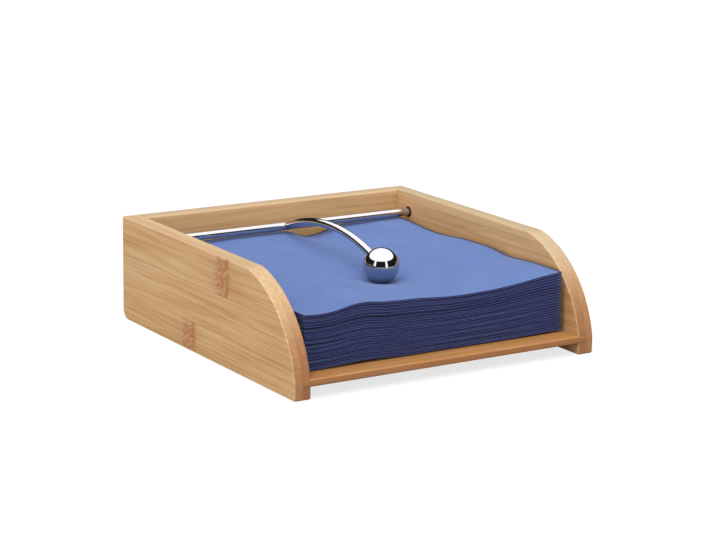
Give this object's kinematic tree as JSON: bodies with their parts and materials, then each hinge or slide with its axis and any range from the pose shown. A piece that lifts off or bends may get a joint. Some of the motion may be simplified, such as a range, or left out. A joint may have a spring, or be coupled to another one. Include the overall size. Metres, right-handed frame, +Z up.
{
  "type": "napkin holder",
  "caption": "Open-front wooden tray for a stack of folded napkins, held down by a ball on a pivoting wire arm.",
  "frame": {"origin": "middle of the tray's footprint, on the surface it stands on", "axes": "+Z up; +Y from the open front to the back board; +X to the right seen from the front"},
  "size_m": [0.19, 0.192, 0.06],
  "materials": {
    "bamboo": "satin",
    "dowel_wood": "matte",
    "chrome": "polished",
    "bush": "matte",
    "napkin": "matte"
  },
  "bodies": {
    "tray": {"left_side": "bamboo", "right_side": "bamboo", "back_board": "bamboo", "floor_board": "bamboo", "dowels": "dowel_wood", "left_bush": "bush", "right_bush": "bush"},
    "arm": {"pivot_rod": "chrome", "arm_wire": "chrome", "weight_ball": "chrome"},
    "napkin_stack": {"napkin_01": "napkin", "napkin_02": "napkin", "napkin_03": "napkin", "napkin_04": "napkin", "napkin_05": "napkin", "napkin_06": "napkin", "napkin_07": "napkin", "napkin_08": "napkin", "napkin_09": "napkin", "napkin_10": "napkin", "napkin_11": "napkin", "napkin_12": "napkin", "napkin_13": "napkin", "napkin_14": "napkin", "napkin_15": "napkin", "napkin_16": "napkin", "napkin_17": "napkin", "napkin_18": "napkin", "napkin_19": "napkin", "napkin_20": "napkin", "napkin_21": "napkin"},
    "top_napkin": {"napkin_22": "napkin"}
  },
  "joints": [
    {"name": "arm_pivot", "type": "hinge", "parent": "tray", "child": "arm", "pos_m": [0, 0.073, 0.0483], "axis": [-1, 0, 0], "range_deg": [0, 112]},
    {"name": "stack_slide", "type": "slide", "parent": "tray", "child": "napkin_stack", "axis": [0, -1, 0], "range_m": [0, 0.18]},
    {"name": "napkin_pull", "type": "slide", "parent": "napkin_stack", "child": "top_napkin", "axis": [0, -1, 0], "range_m": [0, 0.18]}
  ]
}
